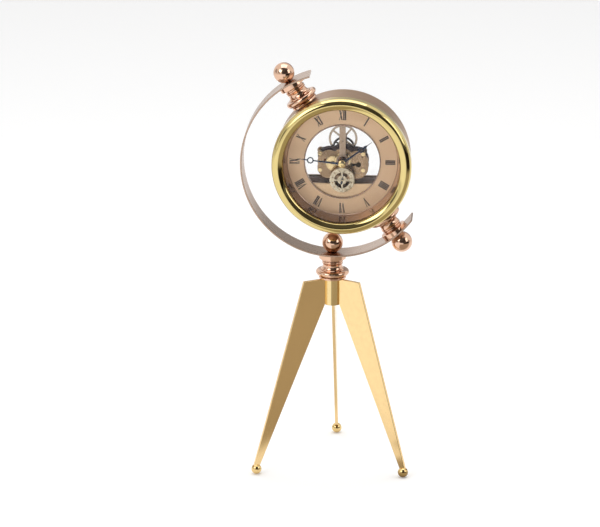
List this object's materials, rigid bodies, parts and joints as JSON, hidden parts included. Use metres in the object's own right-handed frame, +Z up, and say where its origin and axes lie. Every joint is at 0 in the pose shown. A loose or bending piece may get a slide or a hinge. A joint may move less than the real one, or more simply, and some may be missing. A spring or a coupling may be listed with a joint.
{
  "type": "desk clock",
  "caption": "Skeleton quartz desk clock whose round head swivels on a tilted axis inside a C-shaped strip ring, carried on a turned post and a three-legged stand",
  "frame": {"origin": "on the axis of the post and hub, in the plane that the three feet stand on", "axes": "+Z up, -Y the side that the dial faces, +X to the right seen from the front"},
  "size_m": [0.1229, 0.0992, 0.2986],
  "materials": {
    "satin_gold": "satin",
    "polished_gold": "polished",
    "rose_gold": "polished",
    "pale_rose_gold": "satin",
    "steel": "bright",
    "drum_rose": "satin metallic",
    "brass": "polished",
    "magnet": "dull",
    "movement_gold": "satin",
    "dial_tan": "satin anodised",
    "clear": "clear",
    "gasket_rubber": "matt",
    "washer_fibre": "matt",
    "ink": "printed",
    "hand_blue": "gloss",
    "blackened_steel": "blackened",
    "dark_plastic": "gloss",
    "cell_wrap": "gloss",
    "board_green": "matt",
    "copper_wire": "enamelled"
  },
  "bodies": {
    "stand": {"leg_left": "satin_gold", "leg_right": "satin_gold", "leg_back": "satin_gold", "foot_left": "polished_gold", "foot_right": "polished_gold", "foot_back": "polished_gold", "leg_hub": "satin_gold", "centre_stud": "steel", "base_baluster": "rose_gold", "ring_strip": "pale_rose_gold", "ball_nuts": "rose_gold", "top_baluster": "rose_gold", "lower_baluster": "rose_gold", "pivot_studs": "steel", "pivot_washers": "washer_fibre", "pivot_nuts": "steel"},
    "head": {"case_drum": "drum_rose", "pivot_bushes": "brass", "bezel": "polished_gold", "glass_gasket": "gasket_rubber", "front_glass": "clear", "dial_spacer": "rose_gold", "dial_ring": "dial_tan", "dial_numerals": "ink", "dial_inner_rim": "rose_gold", "retaining_ring": "steel", "retaining_screws": "steel", "bridge_bar": "dial_tan", "centre_bush": "rose_gold", "lower_plate": "movement_gold", "seconds_ring": "brass", "front_plate": "movement_gold", "gear_cover": "dark_plastic", "back_plate": "movement_gold", "pillars": "brass", "bridge_posts": "brass", "plate_screws": "brass", "movement_base": "dark_plastic", "battery": "cell_wrap", "battery_contacts": "steel", "circuit_board": "board_green", "coil_winding": "copper_wire", "stator": "steel", "rear_cover": "drum_rose", "rear_window": "clear"},
    "seconds_arbor": {"seconds_wheel": "brass", "seconds_hand": "hand_blue"},
    "third_arbor": {"third_wheel": "brass"},
    "centre_arbor": {"centre_wheel": "brass"},
    "intermediate_arbor": {"intermediate_wheel": "brass"},
    "step_rotor": {"rotor": "magnet"},
    "dark_arbor": {"dark_wheel": "blackened_steel"},
    "spoked_arbor": {"spoked_wheel": "brass"},
    "minute_pipe": {"cannon_pinion": "brass", "hand_nut": "brass", "minute_hand": "hand_blue"},
    "hour_pipe": {"hour_wheel": "brass", "hour_hand": "hand_blue"},
    "setting_arbor": {"minute_wheel": "brass"},
    "door": {"battery_door": "drum_rose"}
  },
  "joints": [
    {"name": "head_swivel", "type": "hinge", "parent": "stand", "child": "head", "pos_m": [0.00739, 0, 0.22963], "axis": [-0.5664, 0, 0.8241], "continuous": true},
    {"name": "seconds_spin", "type": "hinge", "parent": "head", "child": "seconds_arbor", "pos_m": [0.00739, 0, 0.21693], "axis": [0, 1, 0], "continuous": true},
    {"name": "third_spin", "type": "hinge", "parent": "head", "child": "third_arbor", "pos_m": [0.00937, 0, 0.22308], "axis": [0, 1, 0], "continuous": true},
    {"name": "centre_spin", "type": "hinge", "parent": "head", "child": "centre_arbor", "pos_m": [0.00739, 0, 0.22963], "axis": [0, 1, 0], "continuous": true},
    {"name": "intermediate_spin", "type": "hinge", "parent": "head", "child": "intermediate_arbor", "pos_m": [0.00345, 0, 0.21837], "axis": [0, 1, 0], "continuous": true},
    {"name": "rotor_spin", "type": "hinge", "parent": "head", "child": "step_rotor", "pos_m": [0.00033, 0, 0.22017], "axis": [0, 1, 0], "continuous": true},
    {"name": "dark_spin", "type": "hinge", "parent": "head", "child": "dark_arbor", "pos_m": [0.00739, 0, 0.23543], "axis": [0, 1, 0], "continuous": true},
    {"name": "spoked_spin", "type": "hinge", "parent": "head", "child": "spoked_arbor", "pos_m": [0.00739, 0, 0.24433], "axis": [0, 1, 0], "continuous": true},
    {"name": "minute_turn", "type": "hinge", "parent": "head", "child": "minute_pipe", "pos_m": [0.00739, 0, 0.22963], "axis": [0, 1, 0], "continuous": true},
    {"name": "hour_turn", "type": "hinge", "parent": "head", "child": "hour_pipe", "pos_m": [0.00739, 0, 0.22963], "axis": [0, 1, 0], "continuous": true},
    {"name": "setting_turn", "type": "hinge", "parent": "head", "child": "setting_arbor", "pos_m": [0.00063, 0, 0.22717], "axis": [0, 1, 0], "continuous": true},
    {"name": "door_pull", "type": "slide", "parent": "head", "child": "door", "axis": [0, 1, 0], "range_m": [0, 0.02]}
  ],
  "couplings": [
    {"joint": "third_spin", "follows": "seconds_spin", "ratio": -0.13333},
    {"joint": "centre_spin", "follows": "seconds_spin", "ratio": 0.016667},
    {"joint": "intermediate_spin", "follows": "seconds_spin", "ratio": -6},
    {"joint": "rotor_spin", "follows": "seconds_spin", "ratio": 30},
    {"joint": "dark_spin", "follows": "seconds_spin", "ratio": -0.08},
    {"joint": "spoked_spin", "follows": "seconds_spin", "ratio": 0.8},
    {"joint": "hour_turn", "follows": "minute_turn", "ratio": 0.083333},
    {"joint": "setting_turn", "follows": "minute_turn", "ratio": -0.33333}
  ]
}
